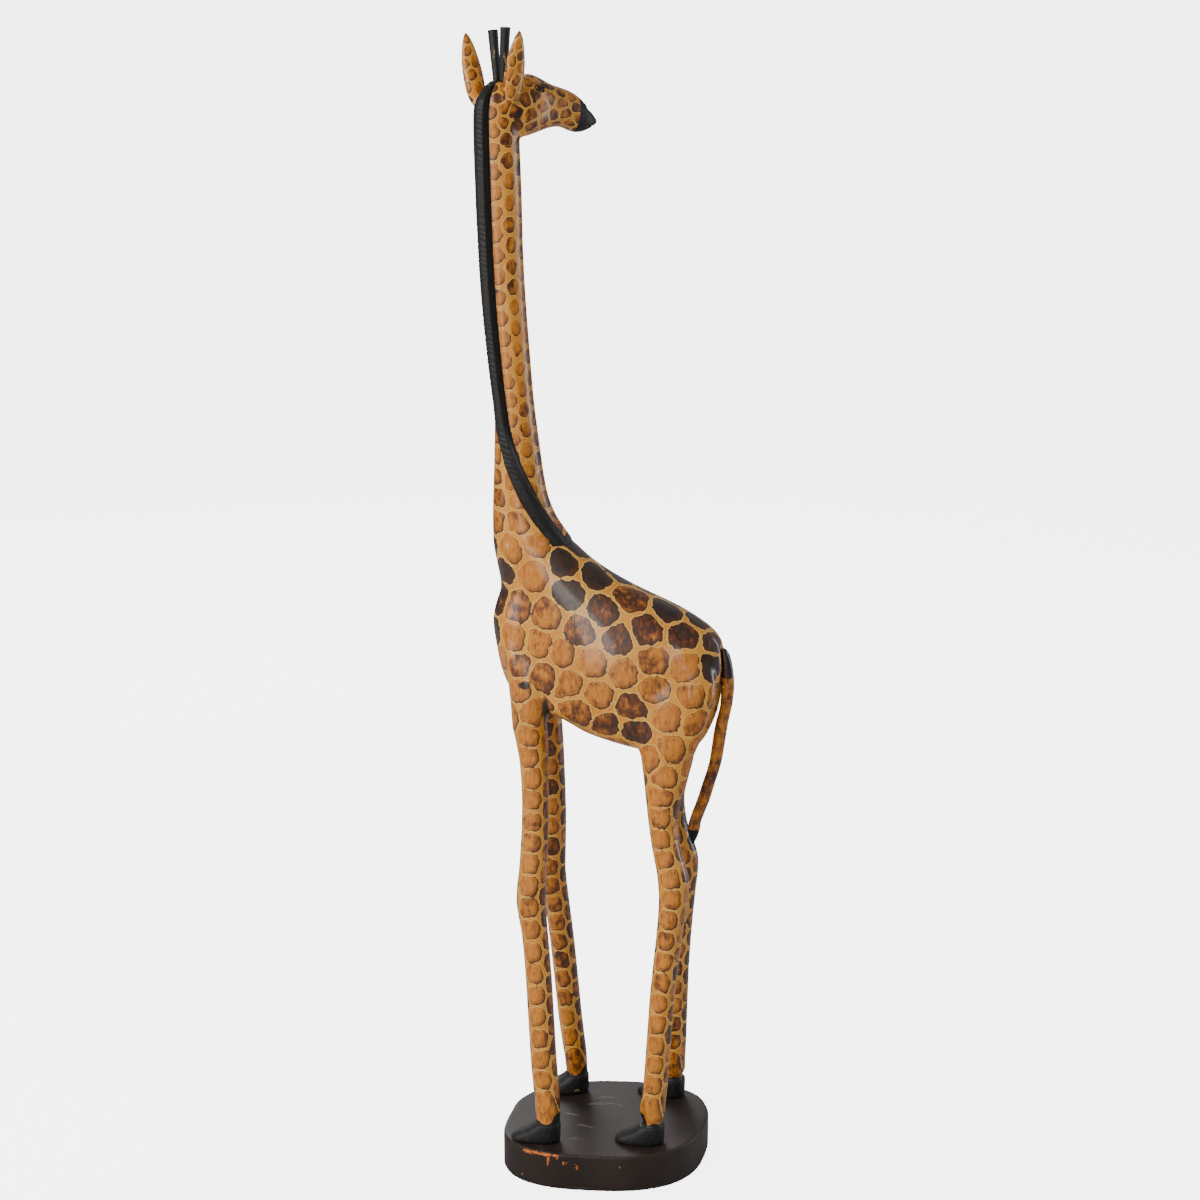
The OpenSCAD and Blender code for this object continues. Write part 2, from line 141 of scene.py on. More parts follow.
class Mix:
    """A socket of a material. Arithmetic on it adds Math nodes; add() makes any other node."""

    def __init__(self, tree, socket=None):
        self.tree = tree
        self.socket = socket

    def add(self, kind, settings=None, inputs=None, out=0):
        node = self.tree.nodes.new(kind)
        for key, value in (settings or {}).items():
            setattr(node, key, value)
        for key, value in (inputs or {}).items():
            if isinstance(value, Mix):
                self.tree.links.new(value.socket, node.inputs[key])
            else:
                node.inputs[key].default_value = value
        return Mix(self.tree, node.outputs[out] if len(node.outputs) else None)

    def maths(self, operation, *values):
        return self.add("ShaderNodeMath", {"operation": operation}, dict(enumerate(values)))

    def __add__(self, other):
        return self.maths("ADD", self, other)

    def __radd__(self, other):
        return self.maths("ADD", other, self)

    def __sub__(self, other):
        return self.maths("SUBTRACT", self, other)

    def __rsub__(self, other):
        return self.maths("SUBTRACT", other, self)

    def __mul__(self, other):
        return self.maths("MULTIPLY", self, other)

    def __rmul__(self, other):
        return self.maths("MULTIPLY", other, self)

    def __truediv__(self, other):
        return self.maths("DIVIDE", self, other)

    def __rtruediv__(self, other):
        return self.maths("DIVIDE", other, self)

    def rise(self, low, high):
        """0 below low, 1 above high, smooth between."""
        return self.add("ShaderNodeMapRange", {"interpolation_type": "SMOOTHSTEP", "clamp": True},
                        {"Value": self, "From Min": low, "From Max": high})

    def or_more(self, other):
        return self.maths("MAXIMUM", self, other)

    def amount(self):
        return self.maths("ABSOLUTE", self)

    def root(self):
        return self.maths("SQRT", self)

    def place(self):
        """Object coordinates, in metres."""
        return self.add("ShaderNodeTexCoord", out=3)

    def stretched(self, scale):
        return self.add("ShaderNodeVectorMath", {"operation": "MULTIPLY"}, {0: self, 1: scale})

    def cloud(self, where, scale, detail=3.0, rough=0.5):
        return self.add("ShaderNodeTexNoise", {}, {"Vector": where, "Scale": scale, "Detail": detail,
                                                   "Roughness": rough})

    def stored(self, name):
        return self.add("ShaderNodeAttribute", {"attribute_name": name}, out=2)

    def blend(self, factor, low, high):
        """Colour low where factor is 0, colour high where it is 1."""
        return self.add("ShaderNodeMix", {"data_type": "RGBA"}, {0: factor, 6: low, 7: high}, out=2)

    def bump(self, height, depth):
        return self.add("ShaderNodeBump", {}, {"Strength": 1.0, "Distance": depth, "Height": height})


def tint(red, green, blue):
    """A colour given as on a paint chart, 0 to 255."""
    def light(v):
        v = v / 255
        return v / 12.92 if v <= 0.04045 else ((v + 0.055) / 1.055) ** 2.4
    return (light(red), light(green), light(blue), 1.0)


def new_finish(name):
    """An empty material and its starting socket."""
    material = bpy.data.materials.new(name)
    material.use_nodes = True
    material.node_tree.nodes.clear()
    return material, Mix(material.node_tree)


def lay(mix, varied, fixed):
    """Joins a Principled surface to the output: varied sockets are linked, fixed ones are constants."""
    surface = mix.add("ShaderNodeBsdfPrincipled", {}, {**varied, **fixed})
    mix.add("ShaderNodeOutputMaterial", {}, {"Surface": surface})


plinth_paint, mix = new_finish("plinth_paint")
at = mix.place()
broad = mix.cloud(at, 14, 3)
fine = mix.cloud(at, 420, 2)
dust = mix.cloud(at, 60, 5, 0.65)
# pale arcs left by things dragged over the top: [middle x, y, radius, from x, to x], in millimetres
ARCS = [[-4, 1, 34.5, -30, 16], [-6, -6, 37.5, -26, -2], [-24, -49, 24, -32, -4], [-45, -60, 60, -52, -28],
        [0, 10, 42, -24, 6], [-20, -80, 22, -34, -8]]
split = [mix.add("ShaderNodeSeparateXYZ", {}, {"Vector": at}, out=k) for k in range(3)]
scuff = dust.rise(0.62, 0.75) * 0.25
for x, y, radius, low, high in ARCS:
    away = [split[0] - x * MM, split[1] - y * MM]
    line = (away[0] * away[0] + away[1] * away[1]).root() - radius * MM + (broad - 0.5) * 0.006
    line = 1 - (line.amount() / 0.0024).rise(0.1, 1.0)
    window = split[0].rise(low * MM, (low + 9) * MM) * (1 - split[0].rise((high - 9) * MM, high * MM))
    scuff = scuff.or_more(line * window * split[1].rise((y + 4) * MM, (y + 8) * MM) * dust.rise(0.36, 0.66))
scuff = scuff * mix.stored("top")
bare = mix.stored("bare").rise(0.45, 0.6)
paint = mix.blend(broad.rise(0.3, 0.7), tint(26, 16, 11), tint(37, 26, 20))
# painted sheen: the whole top face is painted lighter and greyer, as the light from above falls on it
paint = mix.blend(mix.stored("top") * 0.5, paint, tint(40, 31, 27))
paint = mix.blend(scuff * 0.75, paint, tint(134, 127, 122))
wood = mix.blend(mix.cloud(at.stretched((40, 40, 200)), 3, 3).rise(0.3, 0.7), tint(150, 64, 14),
                 tint(206, 120, 50))
relief = fine * 0.15 + broad * 0.6 - bare * 0.8
lay(mix, {"Base Color": mix.blend(bare, paint, wood), "Normal": mix.bump(relief, 0.0006),
          "Roughness": 0.5 + scuff * 0.2 + bare * 0.2 + dust * 0.1},
    {"Specular IOR Level": 0.35, "Coat Weight": 0.04, "Coat Roughness": 0.35})

PLINTH_GRAIN = 1.3 * MM
PLINTH_STROKES = 7
SOLE = 3 * MM
bm = bmesh.new()
node_copy(bm, "plinth")
bm = sanded(bm, PLINTH_GRAIN, PLINTH_STROKES)
for v in bm.verts:
    # the saw and the rasp left the wall a little uneven, above the flat sole
    turn = math.atan2(v.co.y, v.co.x)
    if v.co.z > SOLE:
        sway = 0.5 * math.sin(5 * turn + 1) + 0.4 * math.sin(9 * turn) + 0.25 * math.sin(17 * turn + 2)
        v.co.x += sway * MM * math.cos(turn)
        v.co.y += sway * MM * math.sin(turn)
plinth = finished(bm, "plinth_slab", plinth_paint, ["plinth"])

TOP_FROM = 38.6
TOP_FADE = 0.8
co = points(plinth)
top_face = np.clip((co[:, 2] / MM - TOP_FROM) / TOP_FADE, 0, 1)
# chips of lost paint: [x, z of the middle, half width, half height], all near the front rim
CHIPS = [[-66, 36.8, 6, 2.2], [-57, 37.4, 5, 1.6], [-47, 37.6, 8, 1.7], [-43, 33, 1.4, 4.5],
         [-43, 28, 0.9, 3], [-35, 38, 5, 1.2], [-33, 35, 1.0, 1.4], [-26, 30, 1.5, 2.2],
         [-23, 31, 0.8, 1.2], [-12, 26, 1.5, 2.4], [-14, 29.5, 0.7, 0.8], [33, 29, 0.8, 1.1],
         [-73, 8, 0.9, 1.2], [12, 1.5, 0.8, 1]]
chip = np.zeros(len(co))
ragged = 0.3 * np.sin(co[:, 0] * 2100) + 0.25 * np.sin(co[:, 2] * 2600 + co[:, 0] * 900)
# how far in from the front rim a point of the top lies, in columns of the width below
COLUMN = 2 * MM
columns = np.round(co[:, 0] / COLUMN).astype(int)
wall = {c: co[columns == c, 1].min() for c in np.unique(columns)}
inward = (co[:, 1] - np.array([wall[c] for c in columns])) / MM
for x, z, half_x, half_z in CHIPS:
    reach = np.hypot((co[:, 0] / MM - x) / half_x, (co[:, 2] / MM - z + np.maximum(0, inward - 2)) / half_z)
    chip = np.maximum(chip, np.clip(1.5 - reach + ragged, 0, 1) * (co[:, 1] < 0))
spread(plinth, "top", top_face)
spread(plinth, "bare", chip)

steel, mix = new_finish("screw_steel")
at = mix.place()
turned = mix.cloud(at.stretched((1, 1, 6)), 900, 2)
lay(mix, {"Roughness": 0.3 + turned * 0.25,
          "Base Color": mix.blend(turned.rise(0.3, 0.7), tint(150, 148, 142), tint(190, 188, 182)),
          "Normal": mix.bump(turned, 0.00005)}, {"Metallic": 1.0})
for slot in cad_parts["plinth_screws"].material_slots:
    slot.material = steel


# --------------------------------------------------------------------------------------------------
# Hooves: small blocks with a flat sole and a long sloping toe, carved of the same wood and painted black.
# The paint runs a little way up the pasterns. They stand on the plinth and are held by the screws.

black_paint, mix = new_finish("black_paint")
at = mix.place()
brush = mix.cloud(at.stretched((1, 1, 0.25)), 260, 4, 0.6)
rubbed = mix.stored("worn").rise(0.35, 0.75) * mix.cloud(at.stretched((1, 1, 0.3)), 330, 4).rise(0.5, 0.62)
coal = mix.blend(brush.rise(0.3, 0.75), tint(8, 8, 8), tint(20, 20, 21))
gold = mix.blend(mix.cloud(at, 700, 2).rise(0.35, 0.65), tint(120, 92, 44), tint(176, 146, 86))
lay(mix, {"Base Color": mix.blend(rubbed, coal, gold), "Roughness": 0.46 + brush * 0.22,
          "Normal": mix.bump(brush - rubbed * 0.3, 0.0003)},
    {"Specular IOR Level": 0.35, "Coat Weight": 0.05, "Coat Roughness": 0.25})

HOOVES = ["hoof_fore_left", "hoof_fore_right", "hoof_hind_left", "hoof_hind_right"]
HOOF_GRAIN = 0.8 * MM
HOOF_STROKES = 3
# the paint of the right fore hoof is rubbed through in one place: [x, z, half width, half height]
RUB = [-44, 46, 5, 2.4]
for name in HOOVES:
    bm = bmesh.new()
    node_copy(bm, name)
    bm = sanded(bm, HOOF_GRAIN, HOOF_STROKES)
    hoof = finished(bm, "black_" + name, black_paint, [name])
    co = points(hoof)
    rub = np.hypot((co[:, 0] / MM - RUB[0]) / RUB[2], (co[:, 2] / MM - RUB[1]) / RUB[3])
    spread(hoof, "worn", np.clip(1.2 - rub, 0, 0.8) * (name == "hoof_fore_right"))


# --------------------------------------------------------------------------------------------------
# Carved body: legs, torso, neck and head with its ears, roughed out of separate blocks, dowelled and glued,
# then sanded together so that no joint shows. It is cut here at the same joint planes. Golden wood; each
# spot is outlined by burning and filled brown, and its lower right side gets painted shade, a darker
# outline and a brown gradient inside; the lot is lacquered.

OVERLAP = 3 * MM
BODY_GRAIN = 1.3 * MM
BODY_STROKES = 26
bm = bmesh.new()
for name in ["torso", "neck", "head", "foreleg_left", "foreleg_right", "hindleg_left", "hindleg_right",
             "ear_left", "ear_right", "leg_dowels", "neck_dowel", "head_dowel"] + HOOVES:
    node_copy(bm, name)
for name in ["foreleg_left", "foreleg_right", "hindleg_left", "hindleg_right", "neck"]:
    node_copy(bm, name, (0, 0, OVERLAP))
    node_copy(bm, name, (0, 0, -OVERLAP))
body = sanded(bm, BODY_GRAIN, BODY_STROKES)

FORE_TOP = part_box("foreleg_left")[1].z
HIND_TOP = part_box("hindleg_left")[1].z
HOOF_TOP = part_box("hoof_fore_left")[1].z
NECK_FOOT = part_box("neck")[0].z
NECK_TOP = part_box("neck")[1].z
for height in (HOOF_TOP, HIND_TOP, FORE_TOP, NECK_FOOT, NECK_TOP):
    bmesh.ops.bisect_plane(body, geom=body.verts[:] + body.edges[:] + body.faces[:], dist=1e-7,
                           plane_co=(0, 0, height), plane_no=(0, 0, 1))
MIDDLE = (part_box("neck")[0].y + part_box("neck")[1].y) / 2
# the fore legs' blocks end behind here, the ears stand on the skull above here, and a cut end's rim is
# sharper than this angle
FORE_BACK = -30 * MM
EAR_FOOT = 30 * MM
SHARP = 0.8


def tree_of(*names):
    """A search tree over CAD nodes, for distances to them."""
    bm = bmesh.new()
    for name in names:
        node_copy(bm, name)
    tree = BVHTree.FromBMesh(bm)
    bm.free()
    return tree


skull = tree_of("head")
leaves = {"ear_left": tree_of("ear_left"), "ear_right": tree_of("ear_right")}


def block_of(p):
    """Which block a point of the carved body belongs to."""
    if p.z < HOOF_TOP:
        return None
    side = "left" if p.y < MIDDLE else "right"
    if p.x > 0 and p.z < HIND_TOP:
        return "hindleg_" + side
    if p.x < FORE_BACK and p.z < FORE_TOP:
        return "foreleg_" + side
    if p.z < NECK_FOOT:
        return "torso"
    if p.z < NECK_TOP:
        return "neck"
    for name, leaf in leaves.items():
        nearer = leaf.find_nearest(p)[3] + 0.3 * MM < skull.find_nearest(p)[3]
        if nearer and p.z > NECK_TOP + EAR_FOOT:
            return name
    return "head"


owners = [block_of(f.calc_center_median()) for f in body.faces]


def block(name):
    """The part of the carved body that is one block, with its cut ends closed."""
    part = body.copy()
    others = [f for f, owner in zip(part.faces, owners) if owner != name]
    bmesh.ops.delete(part, geom=others, context="FACES")
    rims = [e for e in part.edges if e.is_boundary]
    bmesh.ops.holes_fill(part, edges=rims, sides=0)
    keep_largest(part)
    for edge in part.edges:
        if abs(edge.calc_face_angle(0)) > SHARP:
            edge.smooth = False
    return part


spotted, mix = new_finish("spotted_wood")
at = mix.place()
bend = mix.cloud(at, 120, 2)
wander = mix.cloud(at, 320, 3, 0.55)
flick = mix.cloud(at, 900, 2)
mottle = mix.cloud(at, 95, 2.5, 0.5)
fibre = mix.cloud(at.stretched((1, 1, 0.1)), 620, 4, 0.6)
streak = mix.cloud(at.stretched((1, 1, 0.35)), 260, 4, 0.65)
wide = mix.cloud(at, 26, 2)
# distance in from the spot's own border, drawn by an unsteady hand, in millimetres
depth = mix.stored("gap") + (bend - 0.5) * 7 + (wander - 0.5) * 1.7 + (flick - 0.5) * 0.4
# 0 towards the upper left of a spot, 1 towards its lower right: the side that gets painted shade
shade_side = (mix.stored("shade_side") + (bend - 0.5) * 1.5).rise(-0.3, 0.85)
tone = mix.stored("tone")
inside = depth.rise(1.1, 1.6)
pale = depth.rise(0.1, 0.8) * (1 - depth.rise(1.1, 1.4))
# the burnt outline of each spot, drawn wider and darker on its lower right as painted shade
outline_and_shade = inside * (1 - ((depth - 1.3) / (0.9 + shade_side * 1.7)).rise(0.3, 1.0)) * (0.3 + shade_side * 0.55 + tone * 0.3)
# painted shade: a soft brown gradient inside each spot, towards its lower right
shade = inside * (1 - ((depth - 1.3) / 7.5).rise(0.1, 1.0)) * shade_side
ring = inside * (1 - ((depth - 5.0 + (streak - 0.5) * 7).amount() / 0.75).rise(0.2, 1.0))
ground = mix.blend(fibre.rise(0.3, 0.7), tint(186, 112, 24), tint(204, 138, 40))
ground = mix.blend(wide.rise(0.4, 0.65) * 0.6, ground, tint(206, 146, 52))
golden = mix.blend(streak.rise(0.35, 0.7), tint(194, 121, 30), tint(162, 92, 18))
brown = mix.blend(streak.rise(0.35, 0.65), tint(108, 52, 10), tint(64, 31, 9))
dark = mix.blend(mottle.rise(0.35, 0.65), tint(24, 16, 12), tint(50, 32, 20))
# the brown of the burnt outlines, rings and streaks, also laid on as the painted shade inside the spots
burn_and_shade_brown = mix.blend(flick.rise(0.3, 0.7), tint(46, 21, 6), tint(84, 40, 8))
fill = mix.blend((tone + (mottle - 0.5) * 0.9 + (streak - 0.5) * 0.5).rise(0.3, 0.68), golden, brown)
fill = mix.blend((tone + (mottle - 0.5) * 0.7 + (streak - 0.5) * 0.8).rise(0.58, 0.88), fill, dark)
colour = mix.blend(pale * (0.25 + tone * 0.8), ground, tint(216, 180, 88))
colour = mix.blend(inside, colour, fill)
# painted shade inside the lower right of each spot
colour = mix.blend(shade * 0.6, colour, burn_and_shade_brown)
colour = mix.blend(ring * 0.3, colour, burn_and_shade_brown)
colour = mix.blend(outline_and_shade, colour, burn_and_shade_brown)
colour = mix.blend(streak.rise(0.63, 0.72) * inside * 0.5, colour, burn_and_shade_brown)
# darkening in the carved groove round each eye, above and behind the eyes, in a crease and on the cheek,
# in the gouge and at the tail's root; painted shadow where the near fore leg meets the chest; and the black
# paint
dark_marks_and_shade = mix.stored("dark_marks_and_shade")
dark_marks_and_shade_mask = (dark_marks_and_shade + (mottle - 0.5) * 0.5).rise(0.25, 0.8) * dark_marks_and_shade.rise(0.02, 0.2)
colour = mix.blend(dark_marks_and_shade_mask, colour, tint(34, 18, 10))
cover = (mix.stored("black") + (wander - 0.5) * 0.5 + (flick - 0.5) * 0.25).rise(0.47, 0.53)
colour = mix.blend(cover, colour, mix.blend(streak.rise(0.3, 0.75), tint(10, 10, 10), tint(22, 22, 23)))
# one fine drying check down the left flank
parted = [mix.add("ShaderNodeSeparateXYZ", {}, {"Vector": at}, out=k) for k in range(3)]
check = parted[0] + 0.0265 + (mix.cloud(at.stretched((0, 0, 1)), 90, 2) - 0.5) * 0.004
check = (1 - (check.amount() / 0.00045).rise(0.3, 1.0)) * parted[2].rise(0.596, 0.602)
check = check * (1 - parted[2].rise(0.638, 0.646)) * (1 - parted[1].rise(-0.01, 0.0))
colour = mix.blend(check * 0.9, colour, tint(20, 12, 8))
relief = inside * 0.35 - outline_and_shade * 0.25 + fibre * 0.2 + cover * 0.4 - check * 0.8
lay(mix, {"Base Color": colour, "Roughness": 0.34 + fibre * 0.12 + cover * 0.15,
          "Coat Weight": mix.stored("polish") * (0.5 - cover * 0.42), "Normal": mix.bump(relief, 0.0004)},
    {"Specular IOR Level": 0.3, "Coat Roughness": 0.2})

chance = np.random.default_rng(11)
HEAD_X = (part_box("head_dowel")[0].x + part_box("head_dowel")[1].x) / 2
HEAD_TURN = math.radians(46)
forward = Vector((math.cos(HEAD_TURN), math.sin(HEAD_TURN), 0))
sideways = Vector((-math.sin(HEAD_TURN), math.cos(HEAD_TURN), 0))
head_axis = Vector((HEAD_X, MIDDLE, NECK_TOP))


def on_head(co):
    """Millimetres ahead of the neck's axis, to the left of it, and above the head joint."""
    if isinstance(co, Vector):
        away = (co - head_axis) / MM
        return away.dot(forward), away.dot(sideways), away.z
    away = (co - np.array(head_axis)) / MM
    return away @ np.array(forward), away @ np.array(sideways), away[:, 2]


# the eyes: ahead, to either side, above the joint, half length, half height
EYE = [36.5, 20.6, 54, 4.6, 2.5]


def eye_ring(ahead, across, high):
    """0 at the middle of an eye, 1 on the edge of its almond; the almond dips towards the muzzle."""
    drop = high - EYE[2] + 0.25 * (ahead - EYE[0])
    flat = 1 + 0.06 * (ahead - EYE[0])
    ring = ((ahead - EYE[0]) / EYE[3]) ** 2 + (drop * flat / EYE[4]) ** 2
    return ring ** 0.5 + 9 * (abs(abs(across) - EYE[1]) > 12)


def carve_face(head):
    """Eyeballs and lids, a mouth line and two shallow nostrils, cut into the head."""
    fine = []
    for v in head.verts:
        ahead, across, high = on_head(v.co)
        if eye_ring(ahead, across, high) < 2.6 or ahead > 80:
            fine.append(v)
    fine = set(fine)
    near = [e for e in head.edges if e.verts[0] in fine and e.verts[1] in fine]
    bmesh.ops.subdivide_edges(head, edges=near, cuts=1, use_grid_fill=True)
    head.normal_update()
    moves = []
    for v in head.verts:
        ahead, across, high = on_head(v.co)
        ring = eye_ring(ahead, across, high)
        push = 0
        if ring < 3:
            ball = max(0, 1 - ring * ring)
            push = 1.1 * ball - 1.2 * math.exp(-((ring - 1.1) / 0.22) ** 2)
            push += 0.9 * math.exp(-((ring - 1.75) / 0.35) ** 2) * (1 if high > EYE[2] - 1 else 0.4)
        if ahead > 84:
            lip = high - 15 + 0.12 * (ahead - 84)
            push -= 0.7 * math.exp(-(lip / 0.8) ** 2)
            nostril = math.hypot((ahead - 103) / 3.2, (high - 30 + 0.5 * (ahead - 103)) / 1.5)
            push -= 1.1 * math.exp(-nostril ** 2) * (abs(across) > 3)
        moves.append(v.normal * (push * MM))
    for v, move in zip(head.verts, moves):
        v.co += move


def carve_ear(ear, tip):
    """A shallow hollow down the front edge of the ear."""
    ear.normal_update()
    low = min(v.co.z for v in ear.verts)
    high = max(v.co.z for v in ear.verts)
    # sanding took a little off the tip: it is drawn out again to its full length
    for v in ear.verts:
        v.co.z += max(0, v.co.z - low - 15 * MM) / (high - low - 15 * MM) * (tip - high)
    high = tip
    rows = {}
    for v in ear.verts:
        rows.setdefault(int((v.co.z - low) / (3 * MM)), []).append(on_head(v.co)[1])
    moves = []
    for v in ear.verts:
        row = rows[int((v.co.z - low) / (3 * MM))]
        off = on_head(v.co)[1] - (min(row) + max(row)) / 2
        up = (v.co.z - low) / (high - low)
        reach = min(1, max(0, (up - 0.12) / 0.15)) * min(1, max(0, (0.9 - up) / 0.25))
        groove = max(0, v.normal.dot(forward)) * math.exp(-(off / 2.6) ** 2)
        moves.append(v.normal * (-2.4 * MM * reach * groove))
    for v, move in zip(ear.verts, moves):
        v.co += move


blocks = {}
for name in ["foreleg_left", "foreleg_right", "hindleg_left", "hindleg_right", "torso", "neck", "head",
             "ear_left", "ear_right"]:
    part = block(name)
    if name == "head":
        carve_face(part)
    if "ear" in name:
        carve_ear(part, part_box(name)[1].z)
    blocks[name] = finished(part, "carved_" + name, spotted, [name])
body.normal_update()
hull = BVHTree.FromBMesh(body)
body.free()


STAND = 5 * MM


def ring_of_spots(axis, turns, z_low, z_high, step, jitter):
    """Spots in columns round a limb: a point of the surface for each, cast outward from the limb's axis."""
    found = []
    for column, turn in enumerate(turns):
        z = z_low + step * (0.5 + 0.5 * (column % 2) + chance.uniform(-0.15, 0.15))
        while z < z_high:
            a = math.radians(turn + chance.uniform(-jitter, jitter))
            x, y = axis(z)
            hit, facing = hull.ray_cast(Vector((x, y, z)), Vector((math.cos(a), math.sin(a), 0)))[:2]
            if hit:
                found.append(tuple(hit + facing * STAND))
                turned.append(turn)
            z += step * chance.uniform(0.92, 1.08)
    return found


def middle_of(name):
    """How a limb's middle runs with height, from its CAD node."""
    co = np.array([v.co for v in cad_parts[name].data.vertices])
    levels = []
    mids = []
    for z in np.unique(np.round(co[:, 2], 5)):
        ring = co[np.abs(co[:, 2] - z) < 1e-5]
        if len(ring) > 11:
            levels.append(z)
            mids.append((ring[:, :2].min(0) + ring[:, :2].max(0)) / 2)
    mids = np.array(mids)
    return lambda z: (np.interp(z, levels, mids[:, 0]), np.interp(z, levels, mids[:, 1]))


def stood_off(piece):
    """The piece's points moved outward, so that the two sides of a thin part lie well apart."""
    facing = np.empty(len(piece.data.vertices) * 3, np.float32)
    piece.data.vertex_normals.foreach_get("vector", facing)
    return points(piece) + STAND * facing.reshape(-1, 3)


def scattered(piece, apart, taken):
    """Spots strewn over a piece, each at least its distance apart from the others and from those taken."""
    co = stood_off(piece)
    found = []
    have = np.array(taken)
    for i in chance.permutation(len(co))[:24000]:
        gap = apart(co[i])
        if np.min(((have - co[i]) ** 2).sum(1)) > gap * gap:
            found.append(tuple(co[i]))
            have = np.vstack([have, co[i]])
    return found


# the left flank's spots as the carver laid them: [x, height, darkness], in millimetres
FLANK = [[-96, 675, 0.2], [-70, 683, 0.15], [-41, 664, 0.9], [-9, 651, 0.95], [-72, 651, 0.15],
         [-34, 633, 0.85], [-90, 615, 0.5], [-56, 610, 0.45], [4, 618, 0.75], [28, 629, 0.62],
         [68, 616, 0.92], [47, 600, 0.7], [86, 595, 0.8], [115, 584, 0.78], [-22, 596, 0.62],
         [20, 590, 0.7], [55, 567, 0.45], [-63, 579, 0.35], [-93, 582, 0.25], [-40, 572, 0.3],
         [-8, 564, 0.2], [28, 555, 0.35], [-87, 553, 0.5], [-58, 548, 0.5], [-31, 541, 0.38],
         [-1, 531, 0.32], [33, 520, 0.62], [55, 541, 0.42], [90, 562, 0.15], [113, 560, 0.9],
         [97, 533, 0.3], [73, 511, 0.25], [9, 498, 0.62], [-22, 511, 0.5], [76, 477, 0.28],
         [101, 505, 0.4], [36, 493, 0.72], [-73, 504, 0.3], [-86, 530, 0.3]]
seeds = []
tones = []
for side in (-1, 1):
    for x, z, shade in FLANK:
        shift = chance.uniform(-6, 6, 2) if side > 0 else (0, 0)
        start = Vector(((x + shift[0]) * MM, side * 0.3, (z + shift[1]) * MM))
        hit, facing = hull.ray_cast(start, Vector((0, -side, 0)))[:2]
        if hit and (hit.y - MIDDLE) * side > 0:
            seeds.append(tuple(hit + facing * STAND))
            tones.append(shade)
strewn = scattered(blocks["torso"], lambda p: 28 * MM, seeds)
for p in strewn:
    seeds.append(p)
    tones.append(0.35 + 0.5 * (p[2] > 0.58))

NECK_COLUMNS = [-83, -50, -12, 26, 64, 102, 140, 178, 212]
NECK_STEP = 21 * MM
LIMB_COLUMNS = [-93, -3, 87, 177]
LIMB_STEP = 22.5 * MM
turned = []
limbs = ring_of_spots(middle_of("neck"), NECK_COLUMNS, NECK_FOOT + 12 * MM, NECK_TOP + 20 * MM, NECK_STEP, 3)
for name, top in [("foreleg_left", FORE_TOP), ("foreleg_right", FORE_TOP), ("hindleg_left", HIND_TOP),
                  ("hindleg_right", HIND_TOP)]:
    limbs += ring_of_spots(middle_of(name), LIMB_COLUMNS, HOOF_TOP + 14 * MM, top - 6 * MM, LIMB_STEP, 5)
for p, turn in zip(limbs, turned):
    seeds.append(p)
    # the spots that face forward and back are made darker than those on the sides
    edge = 0.2 if abs(turn) < 20 or abs(turn) > 160 else 0
    # painted shade: the spots on the far side, away from the camera and the lamps, are made darker
    far_shade = 0.15 if p[1] > MIDDLE and p[2] < NECK_FOOT else 0
    high = {-83: -0.14, -50: 0.08}.get(turn, 0) if p[2] > NECK_FOOT + 0.04 else 0
    tones.append(0.3 + edge + far_shade + high + 0.1 * chance.standard_normal())

for name, gap, shade in [("head", 12.5, 0.55), ("ear_left", 11.5, 0.36), ("ear_right", 11.5, 0.36)]:
    for p in scattered(blocks[name], lambda p: gap * MM, seeds):
        seeds.append(p)
        tones.append(shade + 0.1 * chance.standard_normal())
seeds = np.array(seeds)
tones = np.array(tones)

mane_tree = tree_of("mane")
# small spots have finer outlines, and the lacquer is thinner on the neck and the head
WIDER = {"neck": 0.8, "head": 0.3, "ear_left": 0.2, "ear_right": 0.2}
POLISH = {"neck": 0.65, "head": 0.45, "ear_left": 0.6, "ear_right": 0.6}
MUZZLE_FROM = 85.5

